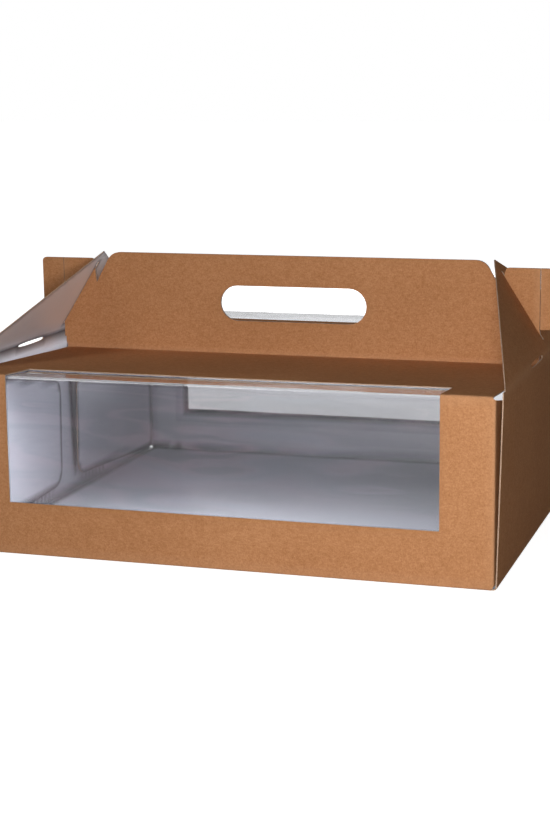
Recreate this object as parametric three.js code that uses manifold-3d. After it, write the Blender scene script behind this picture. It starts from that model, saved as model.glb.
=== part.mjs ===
// Carry-handle cake box: one folded sheet of kraft board, two clear window films and the four lock tabs of its ears.
// Millimetres. The windows face -Y and +Y, +X is the box's right, +Z is up, and the origin is the middle of the
// underside.
import * as THREE from "three";
import { mergeVertices } from "three/addons/utils/BufferGeometryUtils.js";
import Module from "manifold-3d";

// Sheets and clearances
const BOARD = 0.6;
const FILM = 0.25;
const GAP = 0.3;
const FLAP_GAP = 0.5;
const FLOOR_GAP = 1.2;

// Tray
const BASE_WIDTH = 266;
const BASE_DEPTH = 248;
const FRONT_HEIGHT = 89;
const SIDE_HEIGHT = 90.5;
const SIDE_LEAN = THREE.MathUtils.degToRad(1.4);
const SIDE_SETBACK = 1.4;

// Corner flaps, folded back inside the side walls
const FLAP_LENGTH = 113;
const FLAP_END_LOW = 8;
const FLAP_END_HIGH = 67;
const FLAP_CORNER = 9;

// Roof panels and window
const ROOF_INSET = 0.8;
const ROOF_SAG = 6;
const WINDOW_WIDTH = 213.5;
const WINDOW_SILL = 26;
const WINDOW_ON_ROOF = 27;
const FILM_OVERLAP = 8;
const FILM_BEND = 5;

// Handle panels, back to back in the middle of the box
const HANDLE_GAP = 0.4;
const HANDLE_HEIGHT = 52.8;
const HANDLE_TOP_WIDTH = 204;
const HANDLE_CORNER = 5;
const HOLE_WIDTH = 80;
const HOLE_HEIGHT = 18.7;
const HOLE_DROP = 25.7;
const NOTCH_SPREAD = 9;
const NOTCH_DEPTH = 16.5;
const EAR_DROP = 3.5;
const EAR_FLARE = 1.5;
const EAR_CORNER = 2;
const TAB_HEIGHT = 31;
const TAB_LENGTH = 12.5;
const TAB_RELIEF = 4;

// Gussets, hinged on the side walls and hooked into the handle's notches
const GUSSET_BASE = 236;
const GUSSET_TIP = 1.5;
const TIP_ABOVE_HANDLE = 0.3;
const SLIT_CLEARANCE = 0.9;
const SLOT_LENGTH = 31;
const SLOT_WIDTH = 2.4;
const SLOT_OFFSET = 36;

// How finely round stretches are cut
const CREASE_SIDES = 12;
const CURVE_STEPS = 6;

// Middle planes of the board, worked out from the sizes above
const HALF = BOARD / 2;
const sideX = BASE_WIDTH / 2 - HALF;
const frontY = BASE_DEPTH / 2 - HALF;
const flapX = sideX - BOARD - FLAP_GAP;
const roofX = flapX - ROOF_INSET;
const frontTop = FRONT_HEIGHT - HALF;
const handleY = HANDLE_GAP / 2 + HALF;
const handleFoot = frontTop - ROOF_SAG;
const handleTop = handleFoot + HANDLE_HEIGHT;
const roofFall = Math.atan2(ROOF_SAG, frontY - handleY);
const roofLength = Math.hypot(ROOF_SAG, frontY - handleY);
const sideTop = new THREE.Vector3(
  sideX + SIDE_HEIGHT * Math.sin(SIDE_LEAN),
  0,
  HALF + SIDE_HEIGHT * Math.cos(SIDE_LEAN),
);
const notchX = HANDLE_TOP_WIDTH / 2 + NOTCH_SPREAD;
const tipX = (HANDLE_TOP_WIDTH / 2 + notchX) / 2;
const tipZ = handleTop + TIP_ABOVE_HANDLE;
const gussetTilt = Math.atan2(tipZ - sideTop.z, sideTop.x - tipX);
const gussetRise = Math.hypot(tipZ - sideTop.z, sideTop.x - tipX);
const earTop = handleTop - EAR_DROP;
const earX = notchX + EAR_FLARE;
const tabBottom = earTop - TAB_HEIGHT;
const tabCreaseX = roofX - BOARD;

const X = new THREE.Vector3(1, 0, 0);
const Y = new THREE.Vector3(0, 1, 0);
const Z = new THREE.Vector3(0, 0, 1);

const wasm = await Module();
wasm.setup();

// A closed geometry as a solid that can be joined and cut.
function solid(geometry) {
  const bare = geometry.clone();
  bare.deleteAttribute("normal");
  bare.deleteAttribute("uv");
  const merged = mergeVertices(bare, 1e-4);
  return new wasm.Manifold(
    new wasm.Mesh({
      numProp: 3,
      vertProperties: new Float32Array(merged.attributes.position.array),
      triVerts: new Uint32Array(merged.index.array),
    }),
  );
}

// A solid back as a geometry with flat faces.
function geometryOf(made) {
  const mesh = made.getMesh();
  const geometry = new THREE.BufferGeometry();
  geometry.setAttribute("position", new THREE.BufferAttribute(new Float32Array(mesh.vertProperties), 3));
  geometry.setIndex(new THREE.BufferAttribute(new Uint32Array(mesh.triVerts), 1));
  const flat = geometry.toNonIndexed();
  flat.computeVertexNormals();
  return flat;
}

function join(pieces) {
  return pieces.reduce((whole, piece) => whole.add(piece));
}

// The same solid turned half a turn about the box's upright axis.
function turned(made) {
  return made.rotate([0, 0, 180]);
}

// A flat plate centred on its own plane, from an outline in right and up directions.
function plate(outline, origin, right, up, thickness = BOARD) {
  const geometry = new THREE.ExtrudeGeometry(outline, {
    depth: thickness,
    bevelEnabled: false,
    curveSegments: CURVE_STEPS,
  });
  const out = new THREE.Vector3().crossVectors(right, up);
  geometry.translate(0, 0, -thickness / 2);
  geometry.applyMatrix4(new THREE.Matrix4().makeBasis(right, up, out).setPosition(origin));
  return geometry;
}

// A fold: a rod of the board's thickness along the line where two panels meet.
function crease(from, to) {
  const along = new THREE.Vector3().subVectors(to, from);
  const rod = new THREE.CylinderGeometry(HALF, HALF, along.length(), CREASE_SIDES);
  rod.applyQuaternion(new THREE.Quaternion().setFromUnitVectors(Y, along.clone().normalize()));
  rod.translate(...from.clone().add(to).multiplyScalar(0.5).toArray());
  return solid(rod);
}

// A closed outline through corners [across, up, radius], each rounded where it has a radius.
function outlineOf(corners) {
  const shape = new THREE.Shape();
  const points = corners.map(([u, v]) => new THREE.Vector2(u, v));
  corners.forEach(([u, v, radius = 0], i) => {
    const before = points[(i + points.length - 1) % points.length];
    const after = points[(i + 1) % points.length];
    const enter = points[i].clone().add(before.clone().sub(points[i]).setLength(radius));
    const leave = points[i].clone().add(after.clone().sub(points[i]).setLength(radius));
    if (i === 0) shape.moveTo(enter.x, enter.y);
    else shape.lineTo(enter.x, enter.y);
    if (radius > 0) shape.quadraticCurveTo(u, v, leave.x, leave.y);
  });
  shape.closePath();
  return shape;
}

function rectangle(left, bottom, right, top) {
  return outlineOf([
    [left, bottom],
    [right, bottom],
    [right, top],
    [left, top],
  ]);
}

// A slot with round ends, its middle at the given place.
function slotOutline(length, width, middleU, middleV, Kind = THREE.Shape) {
  const radius = width / 2;
  const reach = length / 2 - radius;
  const slot = new Kind();
  slot.moveTo(middleU - reach, middleV - radius);
  slot.lineTo(middleU + reach, middleV - radius);
  slot.absarc(middleU + reach, middleV, radius, -Math.PI / 2, Math.PI / 2, false);
  slot.lineTo(middleU - reach, middleV + radius);
  slot.absarc(middleU - reach, middleV, radius, Math.PI / 2, (3 * Math.PI) / 2, false);
  slot.closePath();
  return slot;
}

// Bottom panel: it reaches the side walls between the corner flaps, and the end walls within them.
function bottomPanel() {
  const sideReach = frontY - SIDE_SETBACK;
  const middle = new THREE.Vector3(0, 0, HALF);
  return join([
    solid(plate(rectangle(-sideX, -sideReach, sideX, sideReach), middle, X, Y)),
    solid(plate(rectangle(-flapX, -frontY, flapX, frontY), middle, X, Y)),
  ]);
}

// An upright end wall with its fold to the bottom, a U around the window.
function endWall() {
  const edge = WINDOW_WIDTH / 2;
  const outline = outlineOf([
    [-flapX, HALF],
    [flapX, HALF],
    [flapX, frontTop],
    [edge, frontTop],
    [edge, WINDOW_SILL],
    [-edge, WINDOW_SILL],
    [-edge, frontTop],
    [-flapX, frontTop],
  ]);
  return join([
    solid(plate(outline, new THREE.Vector3(0, -frontY, 0), X, Z)),
    crease(new THREE.Vector3(-flapX, -frontY, HALF), new THREE.Vector3(flapX, -frontY, HALF)),
  ]);
}

// A corner flap folded back along the inside of a side wall, on the side given by sign.
function cornerFlap(sign) {
  const foot = BOARD + FLOOR_GAP;
  const head = frontTop - FLAP_GAP;
  const outline = outlineOf([
    [0, foot],
    [FLAP_LENGTH, FLAP_END_LOW, FLAP_CORNER],
    [FLAP_LENGTH, FLAP_END_HIGH, FLAP_CORNER],
    [0, head],
  ]);
  const x = sign * flapX;
  return join([
    solid(plate(outline, new THREE.Vector3(x, -frontY, 0), Y, Z)),
    crease(new THREE.Vector3(x, -frontY, foot), new THREE.Vector3(x, -frontY, head)),
  ]);
}

// A roof panel that falls from its end wall to the foot of the handle, open where the window runs over the fold.
function roofPanel() {
  const edge = WINDOW_WIDTH / 2;
  const up = new THREE.Vector3(0, Math.cos(roofFall), -Math.sin(roofFall));
  const outline = outlineOf([
    [-roofX, 0],
    [-edge, 0],
    [-edge, WINDOW_ON_ROOF],
    [edge, WINDOW_ON_ROOF],
    [edge, 0],
    [roofX, 0],
    [roofX, roofLength],
    [-roofX, roofLength],
  ]);
  const fold = (x) => new THREE.Vector3(x, -frontY, frontTop);
  const foot = (x) => new THREE.Vector3(x, -handleY, handleFoot);
  const folds = [crease(fold(-roofX), fold(-edge)), crease(fold(edge), fold(roofX))];
  return join([solid(plate(outline, fold(0), X, up)), ...folds, crease(foot(-roofX), foot(roofX))]);
}

// A handle panel with its finger hole and, at each end, the notch that takes a gusset and the ear beyond it.
function handlePanel() {
  const right = [
    [roofX, handleFoot],
    [roofX, tabBottom - TAB_RELIEF],
    [tabCreaseX - GAP / 2, tabBottom],
    [tabCreaseX - GAP / 2, earTop],
    [earX, earTop, EAR_CORNER],
    [notchX, handleTop - NOTCH_DEPTH],
    [HANDLE_TOP_WIDTH / 2, handleTop, HANDLE_CORNER],
  ];
  const left = right.map(([u, v, radius]) => [-u, v, radius]).reverse();
  const outline = outlineOf([...right, ...left]);
  outline.holes.push(slotOutline(HOLE_WIDTH, HOLE_HEIGHT, 0, handleTop - HOLE_DROP, THREE.Path));
  return solid(plate(outline, new THREE.Vector3(0, -handleY, 0), X, Z));
}

// A side wall leaning slightly outwards, with its fold to the bottom.
function sideWall() {
  const reach = frontY - SIDE_SETBACK;
  const up = new THREE.Vector3(Math.sin(SIDE_LEAN), 0, Math.cos(SIDE_LEAN));
  return join([
    solid(plate(rectangle(-reach, 0, reach, SIDE_HEIGHT), new THREE.Vector3(sideX, 0, HALF), Y, up)),
    crease(new THREE.Vector3(sideX, -reach, HALF), new THREE.Vector3(sideX, reach, HALF)),
  ]);
}

// A triangular gusset leaning in from the top of its side wall, with the slit that the ears pass through.
function gusset() {
  const lean = Math.cos(gussetTilt);
  const slitFoot = (sideTop.x - roofX - SLIT_CLEARANCE) / lean;
  const slitHead = (sideTop.x - notchX + SLIT_CLEARANCE) / lean;
  const slitHalf = handleY + HALF + GAP;
  const outline = outlineOf([
    [-GUSSET_BASE / 2, 0],
    [GUSSET_BASE / 2, 0],
    [0, gussetRise, GUSSET_TIP],
  ]);
  outline.holes.push(
    new THREE.Path([
      new THREE.Vector2(-slitHalf, slitFoot),
      new THREE.Vector2(-slitHalf, slitHead),
      new THREE.Vector2(slitHalf, slitHead),
      new THREE.Vector2(slitHalf, slitFoot),
    ]),
  );
  const up = new THREE.Vector3(-Math.cos(gussetTilt), 0, Math.sin(gussetTilt));
  const end = (y) => new THREE.Vector3(sideTop.x, y, sideTop.z);
  return join([
    solid(plate(outline, sideTop, Y, up)),
    crease(end(-GUSSET_BASE / 2), end(GUSSET_BASE / 2)),
  ]);
}

// The two slots cut across the fold between a side wall and its gusset.
function gussetSlots() {
  const wallUp = new THREE.Vector3(Math.sin(SIDE_LEAN), 0, Math.cos(SIDE_LEAN));
  const gussetUp = new THREE.Vector3(-Math.cos(gussetTilt), 0, Math.sin(gussetTilt));
  const up = wallUp.add(gussetUp).normalize();
  return join(
    [-SLOT_OFFSET, SLOT_OFFSET].map((y) =>
      solid(plate(slotOutline(SLOT_LENGTH, SLOT_WIDTH, y, 0), sideTop, Y, up, SLOT_WIDTH * 2)),
    ),
  );
}

// The whole folded sheet.
function carton() {
  const end = join([endWall(), cornerFlap(-1), cornerFlap(1), roofPanel(), handlePanel()]);
  const side = join([sideWall(), gusset()]).subtract(gussetSlots());
  return geometryOf(join([bottomPanel(), end, turned(end), side, turned(side)]));
}

// A window film: an upright sheet behind the end wall that bends over under the edge of the roof.
function windowFilm() {
  const offset = HALF + GAP + FILM / 2;
  const bendY = -frontY + offset + FILM_BEND;
  const bendZ = frontTop - ((offset + FILM_BEND) * (1 + Math.sin(roofFall))) / Math.cos(roofFall);
  const outer = FILM_BEND + FILM / 2;
  const inner = FILM_BEND - FILM / 2;
  const foot = WINDOW_SILL - FILM_OVERLAP;
  const out = Math.PI / 2 - roofFall;
  const along = new THREE.Vector2(Math.cos(roofFall), -Math.sin(roofFall));
  const onRoof = WINDOW_ON_ROOF + FILM_OVERLAP - offset - FILM_BEND;
  const endAt = (radius) =>
    new THREE.Vector2(bendY + radius * Math.cos(out), bendZ + radius * Math.sin(out)).addScaledVector(along, onRoof);
  const profile = new THREE.Shape();
  profile.moveTo(bendY - outer, foot);
  profile.lineTo(bendY - outer, bendZ);
  profile.absarc(bendY, bendZ, outer, Math.PI, out, true);
  profile.lineTo(endAt(outer).x, endAt(outer).y);
  profile.lineTo(endAt(inner).x, endAt(inner).y);
  profile.absarc(bendY, bendZ, inner, out, Math.PI, false);
  profile.lineTo(bendY - inner, foot);
  profile.closePath();
  return plate(profile, new THREE.Vector3(0, 0, 0), Y, Z, WINDOW_WIDTH + 2 * FILM_OVERLAP);
}

// A lock tab in its own place: its inner edge is on the crease, and it reaches outwards.
function lockTab() {
  const outline = outlineOf([
    [GAP / 2, 0],
    [TAB_LENGTH, 0, EAR_CORNER],
    [TAB_LENGTH, TAB_HEIGHT, EAR_CORNER],
    [GAP / 2, TAB_HEIGHT],
  ]);
  return plate(outline, new THREE.Vector3(0, 0, 0), X, Z);
}

const kraft = new THREE.MeshStandardMaterial({ color: 0xb97f52, roughness: 0.85, metalness: 0 });
const clear = new THREE.MeshStandardMaterial({
  color: 0xe8edf2,
  roughness: 0.08,
  metalness: 0,
  transparent: true,
  opacity: 0.25,
});

const cakeBox = new THREE.Group();

const sheet = new THREE.Mesh(carton(), kraft);
sheet.name = "carton";
cakeBox.add(sheet);

for (const [panelName, y] of [
  ["front", -handleY],
  ["rear", handleY],
]) {
  const film = new THREE.Mesh(windowFilm(), clear);
  film.name = `${panelName}_film`;
  film.rotation.z = y > 0 ? Math.PI : 0;
  cakeBox.add(film);
  for (const [sideName, sign] of [
    ["left", -1],
    ["right", 1],
  ]) {
    const tab = new THREE.Mesh(lockTab(), kraft);
    tab.name = `${panelName}_${sideName}_tab`;
    tab.rotation.z = sign > 0 ? 0 : Math.PI;
    tab.position.set(sign * tabCreaseX, y, tabBottom);
    cakeBox.add(tab);
  }
}

export default cakeBox;
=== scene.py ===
"""A carry-handle cake box: a folded sheet of kraft board, two clear window films and four lock tabs."""
import math

import bpy
import numpy as np
from mathutils import Matrix, Vector

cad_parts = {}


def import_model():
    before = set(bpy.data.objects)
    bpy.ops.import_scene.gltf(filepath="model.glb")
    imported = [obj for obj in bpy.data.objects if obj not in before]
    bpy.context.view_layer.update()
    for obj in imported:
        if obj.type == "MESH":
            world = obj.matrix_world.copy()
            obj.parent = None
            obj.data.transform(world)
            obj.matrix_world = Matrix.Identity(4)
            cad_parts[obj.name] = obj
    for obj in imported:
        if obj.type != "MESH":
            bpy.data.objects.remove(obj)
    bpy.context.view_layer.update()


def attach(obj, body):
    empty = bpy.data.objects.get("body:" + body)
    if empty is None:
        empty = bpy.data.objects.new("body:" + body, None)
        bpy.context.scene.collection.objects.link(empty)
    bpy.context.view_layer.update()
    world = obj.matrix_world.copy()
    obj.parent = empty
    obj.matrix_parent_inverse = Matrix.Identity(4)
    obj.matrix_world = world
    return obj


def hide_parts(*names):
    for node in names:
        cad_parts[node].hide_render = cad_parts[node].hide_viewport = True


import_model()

# Sizes in millimetres and angles in radians, as the solids have them
MM = 0.001
BOARD = 0.6
FILM = 0.25
GAP = 0.3
FLAP_GAP = 0.5
FLOOR_GAP = 1.2
BASE_WIDTH = 266.0
BASE_DEPTH = 248.0
FRONT_HEIGHT = 89.0
SIDE_HEIGHT = 90.5
SIDE_LEAN = math.radians(1.4)
SIDE_SETBACK = 1.4
FLAP_LENGTH = 113.0
FLAP_END_LOW = 8.0
FLAP_END_HIGH = 67.0
FLAP_CORNER = 9.0
ROOF_INSET = 0.8
ROOF_SAG = 6.0
WINDOW_WIDTH = 213.5
WINDOW_SILL = 26.0
WINDOW_ON_ROOF = 27.0
FILM_OVERLAP = 8.0
HANDLE_GAP = 0.4
HANDLE_HEIGHT = 52.8
HANDLE_TOP_WIDTH = 204.0
HANDLE_CORNER = 5.0
HOLE_WIDTH = 80.0
HOLE_HEIGHT = 18.7
HOLE_DROP = 25.7
NOTCH_SPREAD = 9.0
NOTCH_DEPTH = 16.5
EAR_DROP = 3.5
EAR_FLARE = 1.5
EAR_CORNER = 2.0
TAB_HEIGHT = 31.0
TAB_LENGTH = 12.5
TAB_RELIEF = 4.0
GUSSET_BASE = 236.0
TIP_ABOVE_HANDLE = 0.3
SLIT_CLEARANCE = 0.9
SLOT_LENGTH = 31.0
SLOT_WIDTH = 2.4
SLOT_OFFSET = 36.0

# Fold radii of the board's middle and of the film, and how finely the sheet is cut
FOLD_RADIUS = 0.8
FILM_BEND = 2.0
FOLD_STEPS = 4
STEP = 5.0

# How far the standing box departs from flat faces: bowed end walls, dipped roofs, curled flaps and slack film
WALL_BOW = 0.7
ROOF_DIP = 0.9
CURL_START = 45.0
CURL_LOW = 0.3
CURL_MORE_ABOVE = 1.2
FILM_SLACK = 0.5

HALF = BOARD / 2
SIDE_X = BASE_WIDTH / 2 - HALF
FRONT_Y = BASE_DEPTH / 2 - HALF
FLAP_X = SIDE_X - BOARD - FLAP_GAP
ROOF_X = FLAP_X - ROOF_INSET
FRONT_TOP = FRONT_HEIGHT - HALF
HANDLE_Y = HANDLE_GAP / 2 + HALF
HANDLE_FOOT = FRONT_TOP - ROOF_SAG
HANDLE_TOP = HANDLE_FOOT + HANDLE_HEIGHT
HOLE_Z = HANDLE_TOP - HOLE_DROP
EAR_TOP = HANDLE_TOP - EAR_DROP
NOTCH_X = HANDLE_TOP_WIDTH / 2 + NOTCH_SPREAD
EAR_X = NOTCH_X + EAR_FLARE
TAB_BOTTOM = EAR_TOP - TAB_HEIGHT
TAB_CREASE_X = ROOF_X - BOARD
WINDOW_X = WINDOW_WIDTH / 2
ROOF_FALL = math.atan2(ROOF_SAG, FRONT_Y - HANDLE_Y)
SIDE_TOP_X = SIDE_X + SIDE_HEIGHT * math.sin(SIDE_LEAN)
SIDE_TOP_Z = HALF + SIDE_HEIGHT * math.cos(SIDE_LEAN)
TIP_X = (HANDLE_TOP_WIDTH / 2 + NOTCH_X) / 2
TIP_Z = HANDLE_TOP + TIP_ABOVE_HANDLE
GUSSET_TILT = math.atan2(TIP_Z - SIDE_TOP_Z, SIDE_TOP_X - TIP_X)
GUSSET_RISE = math.hypot(TIP_Z - SIDE_TOP_Z, SIDE_TOP_X - TIP_X)


# Grids and paths


def spaced(*breaks, step=STEP):
    """Every break in order, with even spaces of at most one step filled in between neighbours."""
    marks = np.unique(np.round(breaks, 4))
    runs = [
        np.linspace(a, b, max(1, math.ceil((b - a) / step)) + 1)[:-1]
        for a, b in zip(marks[:-1], marks[1:])
    ]
    return np.concatenate(runs + [marks[-1:]])


def round_spaced(middle, radius, steps=6):
    """Places across a round end, closest where the circle is steepest: middle plus radius times a sine."""
    return middle + radius * np.sin(np.linspace(-math.pi / 2, math.pi / 2, 2 * steps + 1))


class Path:
    """A folded line in a plane: straight legs joined by arcs of the fold radius, read by distance along the
    unfolded line. Each arc has the fold's own length, and the legs are measured from corner to corner."""

    def __init__(self, corners, radius=FOLD_RADIUS):
        corners = [np.array(c, float) for c in corners]
        places, points, self.folds, self.corners = [0.0], [corners[0]], [], [0.0]
        walked = 0.0
        for before, here, after in zip(corners[:-2], corners[1:-1], corners[2:]):
            into = (here - before) / np.linalg.norm(here - before)
            out = (after - here) / np.linalg.norm(after - here)
            walked += np.linalg.norm(here - before)
            turn = math.acos(float(np.clip(into @ out, -1, 1)))
            cut = radius * math.tan(turn / 2)
            side = np.array([-into[1], into[0]]) * math.copysign(1, into[0] * out[1] - into[1] * out[0])
            middle = here - cut * into + radius * side
            angles = np.linspace(0, turn, FOLD_STEPS + 1)
            arc = [middle - radius * side * math.cos(a) + radius * into * math.sin(a) for a in angles]
            places += list(walked + cut * np.linspace(-1, 1, FOLD_STEPS + 1))
            points += arc
            self.folds.append((walked - cut, walked + cut))
            self.corners.append(walked)
        walked += np.linalg.norm(corners[-1] - corners[-2])
        self.corners = np.array([*self.corners, walked])
        self.places = np.array(places + [walked])
        self.points = np.array(points + [corners[-1]])

    def at(self, distance):
        """The point on the folded line at each distance along it, by straight interpolation."""
        return np.stack([np.interp(distance, self.places, self.points[:, i]) for i in (0, 1)], -1)

    def rows(self, *breaks, start=None, end=None, step=STEP):
        """Distances for a grid along the line, with every fold's steps and the breaks asked for."""
        start = self.places[0] if start is None else start
        end = self.places[-1] if end is None else end
        marks = [m for m in (*self.places, *breaks) if start < m < end]
        return spaced(start, *marks, end, step=step)


class Sheet:
    """A sheet gathered from grids that share edges, then welded and given the board's thickness."""

    def __init__(self):
        self.points = []
        self.faces = []
        self.count = 0

    def add(self, grid, keep=None, flip=False, turn=False):
        """Adds the cells of a grid of points that are kept. Flip turns its outside round, and turn gives the
        whole grid half a turn about the upright axis."""
        rows, columns = grid.shape[:2]
        points = grid.reshape(-1, 3) * ([-1, -1, 1] if turn else [1, 1, 1])
        index = np.arange(rows * columns).reshape(rows, columns) + self.count
        quads = np.stack([index[:-1, :-1], index[:-1, 1:], index[1:, 1:], index[1:, :-1]], -1)
        quads = quads[keep] if keep is not None else quads.reshape(-1, 4)
        self.points.append(points)
        self.faces.append(quads[:, ::-1] if flip else quads)
        self.count += len(points)

    def solid(self, name, thickness, materials, shape=None):
        """Welds equal points, drops cells without area, moves copies half the thickness out and in along the
        averaged normals, and closes every free edge with a rim. Outside, inside and rim have material slots 0,
        1 and 2. The marks that the materials read are stored on the points."""
        points = np.round(np.concatenate(self.points), 3)
        points, which = np.unique(points, axis=0, return_inverse=True)
        quads = which.reshape(-1)[np.concatenate(self.faces)]
        if shape is not None:
            points = shape(points)
        across = points[quads[:, 2]] - points[quads[:, 0]]
        along = points[quads[:, 3]] - points[quads[:, 1]]
        area = np.cross(across, along)
        size = np.linalg.norm(area, axis=1)
        quads, area = quads[size > 1e-3], area[size > 1e-3]
        normals = np.zeros_like(points)
        unit = area / np.linalg.norm(area, axis=1, keepdims=True)
        for corner in range(4):
            np.add.at(normals, quads[:, corner], unit)
        normals /= np.maximum(np.linalg.norm(normals, axis=1, keepdims=True), 1e-9)

        edges = np.stack([quads, np.roll(quads, -1, axis=1)], -1).reshape(-1, 2)
        edges = edges[edges[:, 0] != edges[:, 1]]
        key = np.sort(edges, axis=1) @ np.array([len(points), 1])
        unique, first, uses = np.unique(key, return_index=True, return_counts=True)
        rim = edges[first[uses == 1]]
        shift = len(points)
        rims = np.stack([rim[:, 1], rim[:, 0], rim[:, 0] + shift, rim[:, 1] + shift], -1)
        faces = np.concatenate([quads, quads[:, ::-1] + shift, rims])
        slots = np.repeat([0, 1, 2], [len(quads), len(quads), len(rims)])
        both = np.concatenate([points + normals * thickness / 2, points - normals * thickness / 2])
        piece = mesh_object(name, both * MM, faces, slots, materials)
        marks = {
            "cut_edge": nearness(both, both[rim.reshape(-1)]),
            "fold": nearness_to_folds(both),
            "painted_flap_shadow": beside_flaps(both),
            "glued": on_board(both),
            "painted_tray_shade_mask": under_roof(both),
        }
        for label, values in marks.items():
            piece.data.attributes.new(label, "FLOAT", "POINT").data.foreach_set("value", values)
        return piece


def nearness(points, targets, reach=1.6):
    """One at the nearest target, falling as a bell with distance: exp(-(d / reach) squared)."""
    nearest = np.full(len(points), 1e9)
    for start in range(0, len(targets), 256):
        block = targets[start:start + 256]
        apart = points[:, None, :] - block[None, :, :]
        nearest = np.minimum(nearest, (apart * apart).sum(-1).min(1))
    return np.exp(-nearest / reach ** 2)


def fold_lines():
    """The two ends of every straight fold of the sheet, and of the painted line of shade at the flaps' feet.
    They are written for the front half, and the rear half is the same turned round."""
    top = SIDE_TOP_X, SIDE_TOP_Z
    front = [
        ((-ROOF_X, -FRONT_Y, HALF), (ROOF_X, -FRONT_Y, HALF)),
        ((-ROOF_X, -FRONT_Y, FRONT_TOP), (-WINDOW_X, -FRONT_Y, FRONT_TOP)),
        ((WINDOW_X, -FRONT_Y, FRONT_TOP), (ROOF_X, -FRONT_Y, FRONT_TOP)),
        ((-ROOF_X, -HANDLE_Y, HANDLE_FOOT), (ROOF_X, -HANDLE_Y, HANDLE_FOOT)),
        ((-FLAP_X, -FRONT_Y, 0), (-FLAP_X, -FRONT_Y, FRONT_TOP)),
        ((FLAP_X, -FRONT_Y, 0), (FLAP_X, -FRONT_Y, FRONT_TOP)),
        ((SIDE_X, -FRONT_Y, HALF), (SIDE_X, FRONT_Y, HALF)),
        ((FLAP_X - 1, -FRONT_Y, HALF), (FLAP_X - 1, FRONT_Y, HALF)),
        ((top[0], -GUSSET_BASE / 2, top[1]), (top[0], GUSSET_BASE / 2, top[1])),
        ((TAB_CREASE_X, -HANDLE_Y, TAB_BOTTOM), (TAB_CREASE_X, -HANDLE_Y, EAR_TOP)),
        ((-TAB_CREASE_X, -HANDLE_Y, TAB_BOTTOM), (-TAB_CREASE_X, -HANDLE_Y, EAR_TOP)),
    ]
    lines = np.array(front, float)
    return np.concatenate([lines, lines * [-1, -1, 1]])


def nearness_to_folds(points, reach=1.5):
    """One on a fold, falling as a bell with the distance to the nearest fold's straight stretch."""
    nearest = np.full(len(points), 1e9)
    for start, end in fold_lines():
        along = end - start
        share = np.clip((points - start) @ along / (along @ along), 0, 1)
        apart = points - start - share[:, None] * along
        nearest = np.minimum(nearest, (apart * apart).sum(-1))
    return np.exp(-nearest / reach ** 2)


def beside_flaps(points):
    """One on a side wall right beside a corner flap's free end, falling as a bell towards the middle of the
    box, and as a straight ramp to nought at the flap's lower and upper corner. It masks the painted shadow
    there."""
    x, y, z = np.abs(points).T
    bell = np.exp(-((FLAP_END_Y - y) / 3) ** 2) * (y < FLAP_END_Y + 0.5) * (x > SIDE_X - 0.5)
    return bell * np.clip((z - FLAP_END_LOW) / 6, 0, 1) * np.clip((FLAP_END_HIGH + 1 - z) / 3, 0, 1)


def under_roof(points):
    """One for points below the roofs, nought above them, with a ramp of two millimetres between. It masks the
    painted shade of the closed tray.
    """
    x, y, z = np.abs(points).T
    return np.clip((FRONT_TOP - ROOF_SAG * (1 - y / FRONT_Y) - z) / 2, 0, 1)


def on_board(points):
    """One where a film lies on board rather than over the window's opening."""
    x, y, z = np.abs(points).T
    return ((x > WINDOW_X + 2) | (z < WINDOW_SILL - 2) | (y < FRONT_Y - WINDOW_ON_ROOF - 2)).astype(float)


def mesh_object(name, points, faces, slots, materials):
    """A mesh from whole arrays. A corner equal to the one before it is left out, so that a face whose corners
    meet becomes a triangle, and faces with fewer than three corners are dropped."""
    kept = faces != np.roll(faces, 1, axis=1)
    sizes = kept.sum(1)
    good = sizes >= 3
    faces, kept, sizes, slots = faces[good], kept[good], sizes[good], slots[good]
    loops = faces[kept]
    mesh = bpy.data.meshes.new(name)
    mesh.vertices.add(len(points))
    mesh.vertices.foreach_set("co", points.astype(np.float32).ravel())
    mesh.loops.add(len(loops))
    mesh.loops.foreach_set("vertex_index", loops.astype(np.int32))
    mesh.polygons.add(len(sizes))
    mesh.polygons.foreach_set("loop_start", (np.cumsum(sizes) - sizes).astype(np.int32))
    for material in materials:
        mesh.materials.append(material)
    mesh.polygons.foreach_set("material_index", slots.astype(np.int32))
    mesh.update(calc_edges=True)
    mesh.validate()
    mesh.polygons.foreach_set("use_smooth", np.ones(len(mesh.polygons), bool))
    mesh.set_sharp_from_angle(angle=math.radians(50))
    piece = bpy.data.objects.new(name, mesh)
    bpy.context.scene.collection.objects.link(piece)
    return piece


# Shaders


def new_group(name, outputs, inputs):
    """An empty shader node group with the named sockets, and its input and output nodes."""
    group = bpy.data.node_groups.new(name, "ShaderNodeTree")
    for label, kind, value in inputs:
        socket = group.interface.new_socket(label, in_out="INPUT", socket_type=kind)
        socket.default_value = value
    for label, kind in outputs:
        group.interface.new_socket(label, in_out="OUTPUT", socket_type=kind)
    return group, group.nodes.new("NodeGroupInput"), group.nodes.new("NodeGroupOutput")


def noise(tree, vector, scale, detail=2.0, roughness=0.5, stretch=(1, 1, 1)):
    """A noise texture on a stretched copy of the vector; gives its value socket."""
    mapping = tree.nodes.new("ShaderNodeMapping")
    mapping.inputs["Scale"].default_value = stretch
    tree.links.new(vector, mapping.inputs["Vector"])
    node = tree.nodes.new("ShaderNodeTexNoise")
    node.inputs["Scale"].default_value = scale
    node.inputs["Detail"].default_value = detail
    node.inputs["Roughness"].default_value = roughness
    tree.links.new(mapping.outputs["Vector"], node.inputs["Vector"])
    return node.outputs["Fac"]


def maths(tree, operation, a, b=0.0, c=0.0, clamp=False):
    """One Math node; each operand is a socket or a number."""
    node = tree.nodes.new("ShaderNodeMath")
    node.operation = operation
    node.use_clamp = clamp
    for socket, value in zip(node.inputs, (a, b, c)):
        if isinstance(value, (int, float)):
            socket.default_value = value
        else:
            tree.links.new(value, socket)
    return node.outputs[0]


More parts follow.
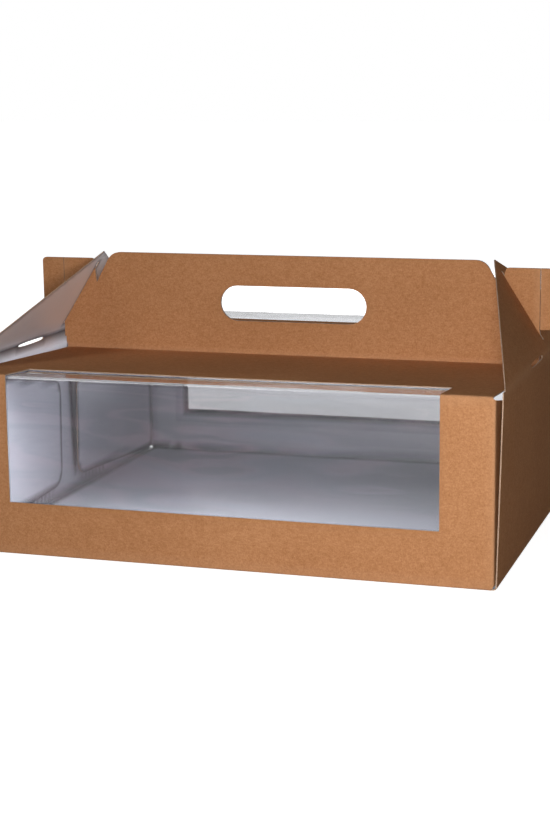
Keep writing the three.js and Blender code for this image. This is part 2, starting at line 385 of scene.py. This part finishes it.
def blend_colours(tree, share, first, second):
    """A colour mix; each colour is a socket or a tuple."""
    node = tree.nodes.new("ShaderNodeMix")
    node.data_type = "RGBA"
    node.clamp_factor = True
    for socket, value in ((node.inputs[0], share), (node.inputs[6], first), (node.inputs[7], second)):
        if isinstance(value, (int, float)):
            socket.default_value = value
        elif isinstance(value, tuple):
            socket.default_value = (*value, 1.0)
        else:
            tree.links.new(value, socket)
    return node.outputs[2]


def paper_fibre_group():
    """Fibres and mottling of uncoated paper: fine noise drawn out along the grain, two coarser clouds, and a
    height that follows the fine fibre."""
    group, given, out = new_group(
        "paper_fibre",
        [("Tone", "NodeSocketFloat"), ("Fleck", "NodeSocketFloat"), ("Height", "NodeSocketFloat")],
        [("Vector", "NodeSocketVector", (0, 0, 0))],
    )
    place = given.outputs["Vector"]
    grain = noise(group, place, 1000, 3, 0.7, (0.55, 1, 0.9))
    cross = noise(group, place, 1900, 2, 0.6, (1, 0.8, 0.7))
    cloud = noise(group, place, 260, 3, 0.6)
    drift = noise(group, place, 14, 2, 0.5)
    fine = maths(group, "ADD", maths(group, "MULTIPLY", grain, 0.5), maths(group, "MULTIPLY", cross, 0.5))
    tone = maths(group, "ADD", maths(group, "MULTIPLY", fine, 0.72), maths(group, "MULTIPLY", cloud, 0.16))
    tone = maths(group, "ADD", tone, maths(group, "MULTIPLY", drift, 0.12))
    fleck = maths(group, "SUBTRACT", noise(group, place, 620, 2, 0.7, (0.3, 1, 0.8)), 0.64)
    fleck = maths(group, "MULTIPLY", fleck, 9.0, clamp=True)
    group.links.new(tone, out.inputs["Tone"])
    group.links.new(fleck, out.inputs["Fleck"])
    group.links.new(fine, out.inputs["Height"])
    return group


def attribute(tree, name):
    """A stored mark of the mesh, such as its nearness to a fold."""
    node = tree.nodes.new("ShaderNodeAttribute")
    node.attribute_name = name
    return node.outputs["Fac"]


def marked(tree, mark, share, colour, other):
    """A colour that goes over to another one, by a share, where a mark is one."""
    return blend_colours(tree, maths(tree, "MULTIPLY", mark, share), colour, other)


def paper_material(
    name, fibre, dark, mid, light, fold, edge, roughness, specular, bump, contrast, painted_shade_share=0.0,
):
    """Paper whose colour runs from dark to light with the fibre's tone, changed along folds and at cut edges by
    a colour and a share, with a fine bump from the same fibre. With a painted shade share it is that much
    darker in the closed tray as painted shade, and nearly black at cut ends there and beside the corner flaps'
    free ends as painted shadow."""
    material = bpy.data.materials.new(name)
    material.use_nodes = True
    tree = material.node_tree
    shader = tree.nodes["Principled BSDF"]
    place = tree.nodes.new("ShaderNodeTexCoord").outputs["Object"]
    node = tree.nodes.new("ShaderNodeGroup")
    node.node_tree = fibre
    tree.links.new(place, node.inputs["Vector"])
    from_middle = maths(tree, "SUBTRACT", node.outputs["Tone"], 0.5)
    tone = maths(tree, "MULTIPLY_ADD", from_middle, contrast, 0.5, clamp=True)
    low = maths(tree, "MULTIPLY", tone, 2.0, clamp=True)
    high = maths(tree, "MULTIPLY_ADD", tone, 2.0, -1.0, clamp=True)
    colour = blend_colours(tree, high, blend_colours(tree, low, dark, mid), light)
    colour = marked(tree, node.outputs["Fleck"], 0.3, colour, dark)
    # Along folds and cut edges: on the kraft lighter along folds and darker at cut edges, on the white inside
    # painted shade
    colour = marked(tree, attribute(tree, "fold"), fold[3], colour, fold[:3])
    colour = marked(tree, attribute(tree, "cut_edge"), edge[3], colour, edge[:3])
    if painted_shade_share:
        # Painted shade: darker in the closed tray below the roofs
        painted_tray_shade_mask = attribute(tree, "painted_tray_shade_mask")
        colour = marked(tree, painted_tray_shade_mask, painted_shade_share, colour, TRAY_SHADE)
        # Painted shadow: near black at cut ends in the tray and beside the corner flaps' free ends
        ends = maths(tree, "MULTIPLY", painted_tray_shade_mask, attribute(tree, "cut_edge"))
        colour = marked(tree, ends, 0.95, colour, GAP_SHADE)
        colour = marked(tree, attribute(tree, "painted_flap_shadow"), 0.97, colour, GAP_SHADE)
    tree.links.new(colour, shader.inputs["Base Color"])
    shader.inputs["Roughness"].default_value = roughness
    shader.inputs["Specular IOR Level"].default_value = specular
    raised = tree.nodes.new("ShaderNodeBump")
    raised.inputs["Strength"].default_value = bump
    raised.inputs["Distance"].default_value = 0.0003
    tree.links.new(node.outputs["Height"], raised.inputs["Height"])
    tree.links.new(raised.outputs["Normal"], shader.inputs["Normal"])
    return material


def ripple_group():
    """Slow waves of stiff film: two noises drawn out across the box, as one height."""
    group, given, out = new_group(
        "film_ripple", [("Height", "NodeSocketFloat")], [("Vector", "NodeSocketVector", (0, 0, 0))],
    )
    place = given.outputs["Vector"]
    long_wave = noise(group, place, 30, 1, 0.4, (0.22, 1, 1))
    short_wave = noise(group, place, 75, 1, 0.4, (0.3, 0.8, 1))
    height = maths(group, "MULTIPLY_ADD", short_wave, 0.25, long_wave)
    group.links.new(height, out.inputs["Height"])
    return group


def film_material(name="clear_film"):
    """Clear stiff film: a slightly grey sheet with sharp reflections bent by its slow waves. A lamp's light
    passes straight through it, dimmed, and where it is glued to the board it hardly shows."""
    material = bpy.data.materials.new(name)
    material.use_nodes = True
    tree = material.node_tree
    shader = tree.nodes["Principled BSDF"]
    shader.inputs["Base Color"].default_value = (*FILM_TINT, 1)
    shader.inputs["Metallic"].default_value = 0.0
    shader.inputs["Roughness"].default_value = 0.02
    shader.inputs["IOR"].default_value = 1.72
    shader.inputs["Transmission Weight"].default_value = 1.0
    waves = tree.nodes.new("ShaderNodeGroup")
    waves.node_tree = ripple_group()
    tree.links.new(tree.nodes.new("ShaderNodeTexCoord").outputs["Object"], waves.inputs["Vector"])
    raised = tree.nodes.new("ShaderNodeBump")
    raised.inputs["Strength"].default_value = 1.0
    raised.inputs["Distance"].default_value = 0.0012
    tree.links.new(waves.outputs["Height"], raised.inputs["Height"])
    tree.links.new(raised.outputs["Normal"], shader.inputs["Normal"])
    clear = tree.nodes.new("ShaderNodeBsdfTransparent")
    glued = attribute(tree, "glued")
    tree.links.new(blend_colours(tree, glued, FILM_DIMMING, GLUED_CLEARNESS), clear.inputs["Color"])
    ray = tree.nodes.new("ShaderNodeLightPath")
    lit = tree.nodes.new("ShaderNodeMixShader")
    tree.links.new(maths(tree, "MAXIMUM", ray.outputs["Is Shadow Ray"], glued), lit.inputs["Fac"])
    tree.links.new(shader.outputs["BSDF"], lit.inputs[1])
    tree.links.new(clear.outputs["BSDF"], lit.inputs[2])
    tree.links.new(lit.outputs["Shader"], tree.nodes["Material Output"].inputs["Surface"])
    return material


# Painted shade colours: the closed tray's darkening, and near black in gaps and at cut ends there
TRAY_SHADE = (0.10, 0.10, 0.12)
GAP_SHADE = (0.02, 0.014, 0.02)
FILM_TINT = (0.64, 0.645, 0.66)
FILM_DIMMING = (0.12, 0.123, 0.135)
GLUED_CLEARNESS = (0.98, 0.98, 0.98)

fibre = paper_fibre_group()
KRAFT = paper_material(
    "kraft_outside", fibre,
    dark=(0.35, 0.150, 0.062), mid=(0.475, 0.222, 0.100), light=(0.60, 0.305, 0.150),
    fold=(0.60, 0.33, 0.18, 0.35), edge=(0.40, 0.19, 0.085, 0.25),
    roughness=0.85, specular=0.03, bump=0.3, contrast=2.8,
)
# On the white inside the fold and edge colours are painted shade: near black in creases and along the flaps'
# feet, dark at cut edges
WHITE = paper_material(
    "white_inside", fibre,
    dark=(0.79, 0.77, 0.82), mid=(0.86, 0.85, 0.90), light=(0.90, 0.88, 0.93),
    fold=(0.05, 0.045, 0.05, 0.9), edge=(0.12, 0.10, 0.11, 0.75),
    roughness=0.22, specular=0.6, bump=0.04, contrast=1.0, painted_shade_share=0.30,
)
CUT = paper_material(
    "cut_edge", fibre,
    dark=(0.30, 0.18, 0.12), mid=(0.45, 0.31, 0.22), light=(0.60, 0.47, 0.37),
    fold=(0.45, 0.31, 0.22, 0.0), edge=(0.45, 0.31, 0.22, 0.0),
    roughness=0.95, specular=0.2, bump=0.3, contrast=2.2,
)
FILM_CLEAR = film_material()
PAPER = [KRAFT, WHITE, CUT]


# The folded sheet


def handle_outline():
    """Right half of the handle panel's upper edge, from its middle outwards: level top, rounded corner, slope
    into the notch, steep side of the ear, and the ear's level top as far as the tab's crease."""
    corner = np.array([HANDLE_TOP_WIDTH / 2, HANDLE_TOP])
    notch = np.array([NOTCH_X, HANDLE_TOP - NOTCH_DEPTH])
    ear = np.array([EAR_X, EAR_TOP])
    down = (notch - corner) / np.linalg.norm(notch - corner)
    up = (notch - ear) / np.linalg.norm(notch - ear)
    share = np.linspace(0, 1, 7)[:, None]

    def rounded(point, before, after):
        """A corner as a parabola from before to after that is drawn towards the point."""
        return (1 - share) ** 2 * before + 2 * share * (1 - share) * point + share ** 2 * after

    first = rounded(corner, corner - [HANDLE_CORNER, 0], corner + HANDLE_CORNER * down)
    second = rounded(ear, ear + EAR_CORNER * up, ear + [EAR_CORNER, 0])
    last = [[TAB_CREASE_X - GAP / 2, EAR_TOP]]
    return np.concatenate([[[0, HANDLE_TOP]], first, [notch], second, last])


def shared_columns():
    """Places across the box that the end walls, roofs and handle panels share, so that their edges weld."""
    outline = handle_outline()[:, 0]
    radius = HOLE_HEIGHT / 2
    ends = round_spaced(HOLE_WIDTH / 2 - radius, radius)
    ends = ends[ends >= HOLE_WIDTH / 2 - radius]
    half = [0, *outline, *ends, WINDOW_X, ROOF_X]
    right = spaced(*half)
    return np.concatenate([-right[:0:-1], right])


COLUMNS = shared_columns()
SIDE_REACH = FRONT_Y - SIDE_SETBACK
BOTTOM_REACH = FRONT_Y - FOLD_RADIUS
SLIT_HALF = HANDLE_Y + HALF + GAP
FLAP_END_Y = FRONT_Y - FLAP_LENGTH


def shared_depths():
    """Places along the depth that the bottom, its wings and the sides share: closer at the round slot ends
    and beside the corner flaps' free ends."""
    ends = SLOT_LENGTH / 2 * np.sin(np.linspace(0, math.pi / 2, 13))
    beside = FLAP_END_Y - np.array([0, 2, 4, 7])
    corners = [0, SLIT_HALF, GUSSET_BASE / 2, SIDE_REACH, BOTTOM_REACH]
    rear = spaced(*corners, *(SLOT_OFFSET + ends), *(SLOT_OFFSET - ends), *beside)
    return np.concatenate([-rear[:0:-1], rear])


DEPTHS = shared_depths()


def end_wall(sheet, turn):
    """An end wall and its two corner flaps as one grid: a plan line from flap to flap, carried up and clamped
    between a lower and an upper edge, without the cells of the window."""
    corners = (-FLAP_X, -FLAP_END_Y), (-FLAP_X, -FRONT_Y), (FLAP_X, -FRONT_Y), (FLAP_X, -FLAP_END_Y)
    plan = Path(corners)
    first, second = plan.corners[1], plan.corners[2]
    middle = (first + second) / 2
    wall = COLUMNS + middle
    ends = round_spaced(FLAP_CORNER, FLAP_CORNER)[: 7]
    along = np.unique(np.round(np.concatenate([
        plan.rows(*ends, end=wall[0]), wall, plan.rows(*(plan.corners[-1] - ends), start=wall[-1])
    ]), 4))
    span = np.maximum(first - along, along - second)
    foot, head = flap_edges(span)
    fold = FOLD_RADIUS * math.tan((math.pi / 2 + ROOF_FALL) / 2)
    low, high = HALF + FOLD_RADIUS, FRONT_TOP - fold
    foot = np.where(span < 0, low, foot)
    head = np.where(span < 0, high, head)
    levels = spaced(low, WINDOW_SILL, high)
    height = np.clip(levels[:, None], foot[None, :], head[None, :])
    flat = plan.at(along)
    grid = np.concatenate([np.broadcast_to(flat, (*height.shape, 2)), height[..., None]], -1)
    across = (along[1:] + along[:-1]) / 2 - middle
    above = (levels[1:] + levels[:-1]) / 2 > WINDOW_SILL
    open_cell = (np.abs(across) < WINDOW_X)[None, :] & above[:, None]
    sheet.add(grid, keep=~open_cell, turn=turn)


def flap_edges(span):
    """Lower and upper edge of a corner flap at a distance from its fold: straight lines that close in towards
    the free end, where each turns by a quarter circle of the corner's radius."""
    share = np.clip(span / FLAP_LENGTH, 0, 1)
    foot = BOARD + FLOOR_GAP + share * (FLAP_END_LOW - BOARD - FLOOR_GAP)
    top = FRONT_TOP - FLAP_GAP - FOLD_RADIUS
    head = top + share * (FLAP_END_HIGH - top)
    into = np.clip(span - (FLAP_LENGTH - FLAP_CORNER), 0, FLAP_CORNER)
    turn = FLAP_CORNER - np.sqrt(FLAP_CORNER ** 2 - into ** 2)
    return foot + turn, head - turn


def roof_and_bottom(sheet, turn):
    """Half of the wrap as two grids across the shared columns: from the end wall's foot to the middle of the
    bottom, and from its head over the roof to the foot of the handle, without the cells of the window."""
    under = Path([(-FRONT_Y, HALF + 2 * FOLD_RADIUS), (-FRONT_Y, HALF), (0, HALF)])
    level = DEPTHS[(DEPTHS > -BOTTOM_REACH) & (DEPTHS < 0)] + under.corners[-1]
    bend = under.rows(start=under.folds[0][0], end=under.folds[0][1])
    rows = np.concatenate([bend, level, under.corners[-1:]])
    sheet.add(across_grid(under, rows), flip=True, turn=turn)

    over = Path([
        (-FRONT_Y, FRONT_TOP - 5), (-FRONT_Y, FRONT_TOP),
        (-HANDLE_Y, HANDLE_FOOT), (-HANDLE_Y, HANDLE_FOOT + 5),
    ])
    edge = over.corners[1] + WINDOW_ON_ROOF
    rows = over.rows(edge, start=over.folds[0][0], end=over.folds[1][1])
    middle = (COLUMNS[1:] + COLUMNS[:-1]) / 2
    before = (rows[1:] + rows[:-1]) / 2 < edge
    open_cell = (np.abs(middle) < WINDOW_X)[None, :] & before[:, None]
    sheet.add(across_grid(over, rows), keep=~open_cell, turn=turn)


def across_grid(path, rows, columns=None):
    """A profile in depth and height carried straight across the box: every row's point at every column."""
    columns = COLUMNS if columns is None else columns
    flat = path.at(rows)
    x = np.broadcast_to(columns[None, :], (len(rows), len(columns)))
    y = np.broadcast_to(flat[:, 0:1], x.shape)
    z = np.broadcast_to(flat[:, 1:2], x.shape)
    return np.stack([x, y, z], -1)


def bottom_wings(sheet):
    """The strips of the bottom beyond the shared columns, out to the side walls' folds."""
    outer = SIDE_X - FOLD_RADIUS * math.tan((math.pi / 2 - SIDE_LEAN) / 2)
    y = DEPTHS
    for columns in (np.array([-outer, -ROOF_X]), np.array([ROOF_X, outer])):
        x = np.broadcast_to(columns[None, :], (len(y), 2))
        grid = np.stack([x, np.broadcast_to(y[:, None], x.shape), np.full(x.shape, HALF)], -1)
        sheet.add(grid, flip=True)


def handle_panel(sheet, turn):
    """A handle panel: upright lines at the shared columns, clamped to the finger hole's lower and upper edges
    and to the panel's upper outline, so that cells past an outline lose their area and vanish."""
    outline = handle_outline()
    crease = TAB_CREASE_X - GAP / 2
    foot = HANDLE_FOOT + FOLD_RADIUS * math.tan((math.pi / 2 + ROOF_FALL) / 2)
    inner = COLUMNS[np.abs(COLUMNS) <= crease + 1e-6]
    wide = np.concatenate([[-ROOF_X, -crease], inner, [crease, ROOF_X]])
    top = np.interp(np.abs(wide), outline[:, 0], outline[:, 1])
    top[[1, -2]] = TAB_BOTTOM
    top[[0, -1]] = TAB_BOTTOM - TAB_RELIEF
    radius = HOLE_HEIGHT / 2
    beyond = np.clip(np.abs(wide) - (HOLE_WIDTH / 2 - radius), 0, radius)
    rise = np.sqrt(radius ** 2 - beyond ** 2)
    rise[np.abs(wide) >= HOLE_WIDTH / 2 - 1e-6] = 0
    below = spaced(foot, TAB_BOTTOM - TAB_RELIEF, TAB_BOTTOM, HOLE_Z, step=3)
    above = spaced(HOLE_Z, HANDLE_TOP - NOTCH_DEPTH, EAR_TOP - EAR_CORNER, EAR_TOP, HANDLE_TOP, step=3)
    lower = np.minimum(below[:, None], np.minimum(HOLE_Z - rise, top)[None, :])
    upper = np.clip(above[:, None], np.minimum(HOLE_Z + rise, top)[None, :], top[None, :])
    for height in (lower, upper):
        x = np.broadcast_to(wide[None, :], height.shape)
        sheet.add(np.stack([x, np.full(height.shape, -HANDLE_Y), height], -1), turn=turn)


def side_and_gusset(sheet, turn):
    """A side wall and its gusset as one grid: a profile of bottom fold, leaning wall, top fold and tilted
    gusset, carried along the depth. Rows near the top fold draw back from the two slots, and the gusset's rows
    are clamped to its triangle."""
    lean = np.array([math.sin(SIDE_LEAN), math.cos(SIDE_LEAN)])
    tilt = np.array([-math.cos(GUSSET_TILT), math.sin(GUSSET_TILT)])
    foot = np.array([SIDE_X, HALF])
    top = foot + SIDE_HEIGHT * lean
    path = Path([foot - [5, 0], foot, top, top + GUSSET_RISE * tilt])
    crease = path.corners[2]
    fold = crease - path.folds[1][0]
    slit_foot = (SIDE_TOP_X - ROOF_X - SLIT_CLEARANCE) / math.cos(GUSSET_TILT)
    slit_head = (SIDE_TOP_X - NOTCH_X + SLIT_CLEARANCE) / math.cos(GUSSET_TILT)

    columns = DEPTHS[np.abs(DEPTHS) < SIDE_REACH + 0.01]
    inside = np.clip(1 - ((np.abs(columns) - SLOT_OFFSET) / (SLOT_LENGTH / 2)) ** 2, 0, 1)
    slot = SLOT_WIDTH / 2 * inside ** 0.25
    cut = slot > fold

    wall = path.rows(start=path.folds[0][0], end=path.folds[1][0])
    bend = path.rows(start=path.folds[1][0], end=path.folds[1][1])
    rise = path.rows(crease + slit_foot, crease + slit_head, start=path.folds[1][1], step=3)
    peak = GUSSET_RISE * (1 - 2 * np.abs(columns) / GUSSET_BASE)
    wall = np.minimum(wall[:, None], (crease - np.where(cut, slot, fold))[None, :])
    bend = np.broadcast_to(bend[:, None], (len(bend), len(columns)))
    low = crease + np.where(cut, slot, fold)
    rise_rows = np.clip(rise[:, None], low[None, :], np.maximum(crease + peak, low)[None, :])

    middle = (columns[1:] + columns[:-1]) / 2
    on_gusset = np.abs(middle) < GUSSET_BASE / 2
    whole = ~(cut[1:] & cut[:-1]) & on_gusset
    in_slit = (rise[1:] + rise[:-1]) / 2 - crease
    in_slit = (in_slit > slit_foot) & (in_slit < slit_head)
    solid = ~(in_slit[:, None] & (np.abs(middle) < SLIT_HALF)[None, :]) & on_gusset[None, :]
    keeps = [None, np.broadcast_to(whole, (bend.shape[0] - 1, len(middle))), solid]
    for rows, keep in zip((wall, bend, rise_rows), keeps):
        flat = path.at(rows)
        y = np.broadcast_to(columns[None, :], rows.shape)
        sheet.add(np.stack([flat[..., 0], y, flat[..., 1]], -1), keep=keep, turn=turn)


def settled(points):
    """The box as it stands, a little out of true: the end walls bow outwards by a cosine across and a sine up,
    the roofs dip by a sine of their depth, and the corner flaps curl off the sides by a square."""
    x, y, z = points.T
    out = points.copy()
    near = np.clip((np.abs(y) - (FRONT_Y - 4)) / 3, 0, 1)
    bow = WALL_BOW * np.cos(np.clip(x / FLAP_X, -1, 1) * math.pi / 2)
    bow = bow * np.sin(np.clip(z / FRONT_HEIGHT, 0, 1) * math.pi)
    out[:, 1] += np.sign(y) * near * bow
    roof = (z > HANDLE_FOOT - 2) & (z < FRONT_HEIGHT + 1) & (np.abs(x) < ROOF_X + 0.1)
    across = np.cos(np.clip(x / ROOF_X, -1, 1) * math.pi / 2)
    depth = np.sin(np.clip(np.abs(y) / FRONT_Y, 0, 1) * math.pi)
    out[:, 2] -= np.where(roof, ROOF_DIP * depth * (0.4 + 0.6 * across), 0)
    flap = (np.abs(x) > FLAP_X - 1) & (np.abs(x) < SIDE_X - 0.3) & (z > BOARD + 0.5) & (z < FRONT_TOP)
    free = np.clip((FRONT_Y - CURL_START - np.abs(y)) / (FLAP_LENGTH - CURL_START), 0, 1) ** 2
    curl = CURL_LOW + CURL_MORE_ABOVE * np.clip(z / FLAP_END_HIGH, 0, 1)
    out[:, 0] -= np.where(flap, np.sign(x) * free * curl, 0)
    return out


def folded_sheet():
    """The whole sheet: both ends, the bottom's wings and both sides, welded into one body."""
    sheet = Sheet()
    for turn in (False, True):
        end_wall(sheet, turn)
        roof_and_bottom(sheet, turn)
        handle_panel(sheet, turn)
        side_and_gusset(sheet, turn)
    bottom_wings(sheet)
    piece = sheet.solid("carton_sheet", BOARD, PAPER, settled)
    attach(piece, "box")
    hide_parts("carton")


def lock_tab(name, sign, turn):
    """A lock tab: upright lines from its crease outwards, clamped to lower and upper edges whose outer corners
    are quarter circles."""
    inner = TAB_CREASE_X + GAP / 2
    outer = TAB_CREASE_X + TAB_LENGTH
    ends = outer - EAR_CORNER + EAR_CORNER * np.sin(np.linspace(0, math.pi / 2, 7))
    columns = spaced(inner, *ends, step=2)
    into = np.clip(columns - (outer - EAR_CORNER), 0, EAR_CORNER)
    corner = EAR_CORNER - np.sqrt(EAR_CORNER ** 2 - into ** 2)
    levels = spaced(TAB_BOTTOM, EAR_TOP, step=2)
    height = np.clip(levels[:, None], TAB_BOTTOM + corner, EAR_TOP - corner)
    x = np.broadcast_to(columns[None, :], height.shape)
    grid = np.stack([x * sign, np.full(height.shape, -HANDLE_Y), height], -1)
    sheet = Sheet()
    sheet.add(grid, flip=sign < 0, turn=turn)
    piece = sheet.solid(f"{name}_board", BOARD, PAPER)
    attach(piece, name)
    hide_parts(name)


def window_film(name, turn):
    """A window film: a profile that stands behind the end wall and bends over under the roof, carried across
    the window and its glued border."""
    offset = HALF + GAP + FILM / 2
    fall = np.array([math.cos(ROOF_FALL), -math.sin(ROOF_FALL)])
    end_z = FRONT_TOP - offset * (1 + math.sin(ROOF_FALL)) / math.cos(ROOF_FALL)
    corner = np.array([-FRONT_Y + offset, end_z])
    end = corner + fall * (WINDOW_ON_ROOF + FILM_OVERLAP - offset)
    path = Path([(corner[0], WINDOW_SILL - FILM_OVERLAP), corner, end], radius=FILM_BEND)
    rows = path.rows(step=2)
    columns = spaced(-WINDOW_X - FILM_OVERLAP, -WINDOW_X, WINDOW_X, WINDOW_X + FILM_OVERLAP, step=3)
    grid = across_grid(path, rows, columns)
    sheet = Sheet()
    sheet.add(grid, turn=turn)
    piece = sheet.solid(name + "_sheet", FILM, [FILM_CLEAR] * 3, rippled)
    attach(piece, "box")
    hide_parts(name)


def rippled(points):
    """The film's slack and slow waves, inwards by up to a millimetre: three sines across and up the window,
    fading to nought at its glued edges."""
    out = settled(points)
    x, y, z = points.T
    across = np.clip(1 - (x / WINDOW_X) ** 2, 0, 1)
    up = np.clip((z - WINDOW_SILL) / 8, 0, 1) * np.clip((FRONT_TOP - z) / 6, 0, 1)
    wave = 0.25 * np.sin(x / 23 + z / 31) + 0.2 * np.sin(z / 9 + x / 70 + 1) + 0.12 * np.sin(x / 11 - z / 17)
    out[:, 1] -= np.sign(y) * across * up * (FILM_SLACK + wave)
    return out


folded_sheet()
for tab_name, tab_sign, tab_turn in (
    ("front_left_tab", -1, False),
    ("front_right_tab", 1, False),
    ("rear_right_tab", -1, True),
    ("rear_left_tab", 1, True),
):
    lock_tab(tab_name, tab_sign, tab_turn)
window_film("front_film", False)
window_film("rear_film", True)


# Stage, lights and camera


def seen_through(tree, ray):
    """Two masks for rays that have met no matt surface yet: one for those that come from the camera straight
    or through film, and one for those that come off a shiny surface."""
    direct = maths(tree, "LESS_THAN", ray.outputs["Diffuse Depth"], 0.5)
    passed = ray.outputs["Is Transmission Ray"]
    through = maths(tree, "MAXIMUM", ray.outputs["Is Camera Ray"], passed)
    shiny = maths(tree, "SUBTRACT", ray.outputs["Is Glossy Ray"], passed, clamp=True)
    return maths(tree, "MULTIPLY", through, direct), maths(tree, "MULTIPLY", shiny, direct)


# Colours of the painted reflection that the floor glows with for shiny rays
BAND_MAUVE = (1.0, 0.46, 0.60)
BAND_GREY = (0.34, 0.40, 0.54)
BAND_DARK = (0.04, 0.04, 0.06)


def stage_material(name, shade, glow):
    """A plain pale surface that shows nearly white to the camera and still takes shadows. To shiny rays it
    glows with broad mauve, grey and dark bands: a painted reflection of a studio table."""
    material = bpy.data.materials.new(name)
    material.use_nodes = True
    tree = material.node_tree
    shader = tree.nodes["Principled BSDF"]
    shader.inputs["Base Color"].default_value = (shade, shade, shade, 1)
    shader.inputs["Roughness"].default_value = 0.9
    shader.inputs["Specular IOR Level"].default_value = 0.1
    place = tree.nodes.new("ShaderNodeTexCoord").outputs["Object"]
    bands = maths(tree, "MULTIPLY_ADD", noise(tree, place, 17, 2, 0.5, (0.2, 1, 1)), 6.0, -2.7, clamp=True)
    tint = maths(tree, "MULTIPLY_ADD", noise(tree, place, 9, 1, 0.5, (0.3, 1, 1)), 3.0, -1.0, clamp=True)
    seen_shiny = blend_colours(tree, bands, BAND_DARK, blend_colours(tree, tint, BAND_MAUVE, BAND_GREY))
    through, shiny = seen_through(tree, tree.nodes.new("ShaderNodeLightPath"))
    tree.links.new(blend_colours(tree, shiny, (1.0, 1.0, 1.0), seen_shiny), shader.inputs["Emission Color"])
    away = tree.nodes.new("ShaderNodeVectorMath")
    away.operation = "LENGTH"
    tree.links.new(place, away.inputs[0])
    rising = maths(tree, "MULTIPLY_ADD", away.outputs["Value"], 0.5, glow - 0.15)
    level = maths(tree, "MINIMUM", maths(tree, "MAXIMUM", rising, glow), 1.0)
    seen = maths(tree, "MAXIMUM", through, shiny)
    tree.links.new(maths(tree, "MULTIPLY", seen, level), shader.inputs["Emission Strength"])
    return material


def floor():
    """A wide level square under the box."""
    reach = 6.0
    corners = np.array([[-reach, -reach, 0], [reach, -reach, 0], [reach, reach, 0], [-reach, reach, 0]])
    material = stage_material("pale_floor", 0.5, 0.88)
    piece = mesh_object("floor", corners, np.array([[0, 1, 2, 3]]), np.array([0]), [material])


def world():
    """White where the camera looks or sees through; in reflections white behind the box and mauve before it;
    a dim even light elsewhere."""
    scene_world = bpy.data.worlds.new("studio")
    bpy.context.scene.world = scene_world
    scene_world.use_nodes = True
    tree = scene_world.node_tree
    ray = tree.nodes.new("ShaderNodeLightPath")
    toward = tree.nodes.new("ShaderNodeSeparateXYZ")
    tree.links.new(tree.nodes.new("ShaderNodeTexCoord").outputs["Generated"], toward.inputs["Vector"])
    before = maths(tree, "MULTIPLY_ADD", toward.outputs["Y"], -1.6, 0.0, clamp=True)
    shiny = blend_colours(tree, before, (1.0, 1.0, 1.0), (0.40, 0.30, 0.34))
    even = (AMBIENT * 0.94, AMBIENT * 0.96, AMBIENT)
    through, mirrored = seen_through(tree, ray)
    colour = blend_colours(tree, mirrored, even, shiny)
    colour = blend_colours(tree, through, colour, (1.0, 1.0, 1.0))
    tree.links.new(colour, tree.nodes["Background"].inputs["Color"])


AMBIENT = 0.035


def lamp(name, place, target, size, power, colour, spread=180, unseen_by=()):
    """A soft rectangular lamp at a place, facing a target, its beam held to a spread in degrees, and left out
    for the named kinds of ray."""
    light = bpy.data.lights.new(name, "AREA")
    light.shape = "RECTANGLE"
    light.size, light.size_y = size
    light.energy = power
    light.color = colour
    light.spread = math.radians(spread)
    piece = bpy.data.objects.new(name, light)
    piece.location = place
    aim = Vector(target) - Vector(place)
    piece.rotation_euler = aim.to_track_quat("-Z", "Y").to_euler()
    piece.visible_camera = "camera" not in unseen_by
    piece.visible_glossy = "glossy" not in unseen_by
    piece.visible_transmission = "transmission" not in unseen_by
    bpy.context.scene.collection.objects.link(piece)


# Camera found from the photograph: place in millimetres, angles in degrees, focal length in pixels
CAMERA_PLACE = (279.7, -895.3, 234.8)
CAMERA_PITCH = 11.01
CAMERA_YAW = 17.97
CAMERA_ROLL = 0.68
FOCAL_PIXELS = 1800.0
PHOTO_WIDTH = 550.0


def camera():
    """A camera that looks along +Y, turned left by the yaw, tipped down by the pitch and rolled a little."""
    data = bpy.data.cameras.new("camera")
    data.sensor_fit = "HORIZONTAL"
    data.sensor_width = 36.0
    data.lens = 36.0 * FOCAL_PIXELS / PHOTO_WIDTH
    data.clip_end = 50.0
    piece = bpy.data.objects.new("camera", data)
    turn = Matrix.Rotation(math.radians(CAMERA_YAW), 4, "Z")
    tip = Matrix.Rotation(math.radians(90 - CAMERA_PITCH), 4, "X")
    roll = Matrix.Rotation(math.radians(-CAMERA_ROLL), 4, "Z")
    piece.matrix_world = Matrix.Translation(Vector(CAMERA_PLACE) * MM) @ turn @ tip @ roll
    bpy.context.scene.collection.objects.link(piece)
    bpy.context.scene.camera = piece


bpy.context.scene.view_settings.view_transform = "Standard"
floor()
world()
camera()
lamp(
    "key_lamp", (0.28, -0.96, 0.25), target=(0.22, -0.1, 0.11), size=(0.22, 0.14), power=0.95,
    colour=(1.0, 0.985, 0.96), spread=90,
)
lamp(
    "low_lamp", (0.17, -0.6, 0.125), target=(0.0, 0, 0.09), size=(0.16, 0.05), power=1.15,
    colour=(1.0, 0.985, 0.97), unseen_by=("camera",),
)
lamp(
    "roof_lamp", (-0.45, -0.35, 0.85), target=(0, 0, 0.08), size=(0.4, 0.4), power=1.5,
    colour=(1.0, 0.98, 0.96),
)
lamp(
    "back_lamp", (0.05, 1.1, 0.26), target=(0, 0, 0.06), size=(0.5, 0.2), power=5.5,
    colour=(0.94, 0.97, 1.0), unseen_by=("camera", "glossy", "transmission"),
)
# A small lamp under the front edge of the roof, for the light that real film lets in from above
lamp(
    "window_glow", (-0.02, -0.095, 0.0835), target=(-0.02, -0.092, 0), size=(0.2, 0.03), power=0.26,
    colour=(0.90, 0.96, 1.0), spread=128, unseen_by=("camera", "glossy", "transmission"),
)
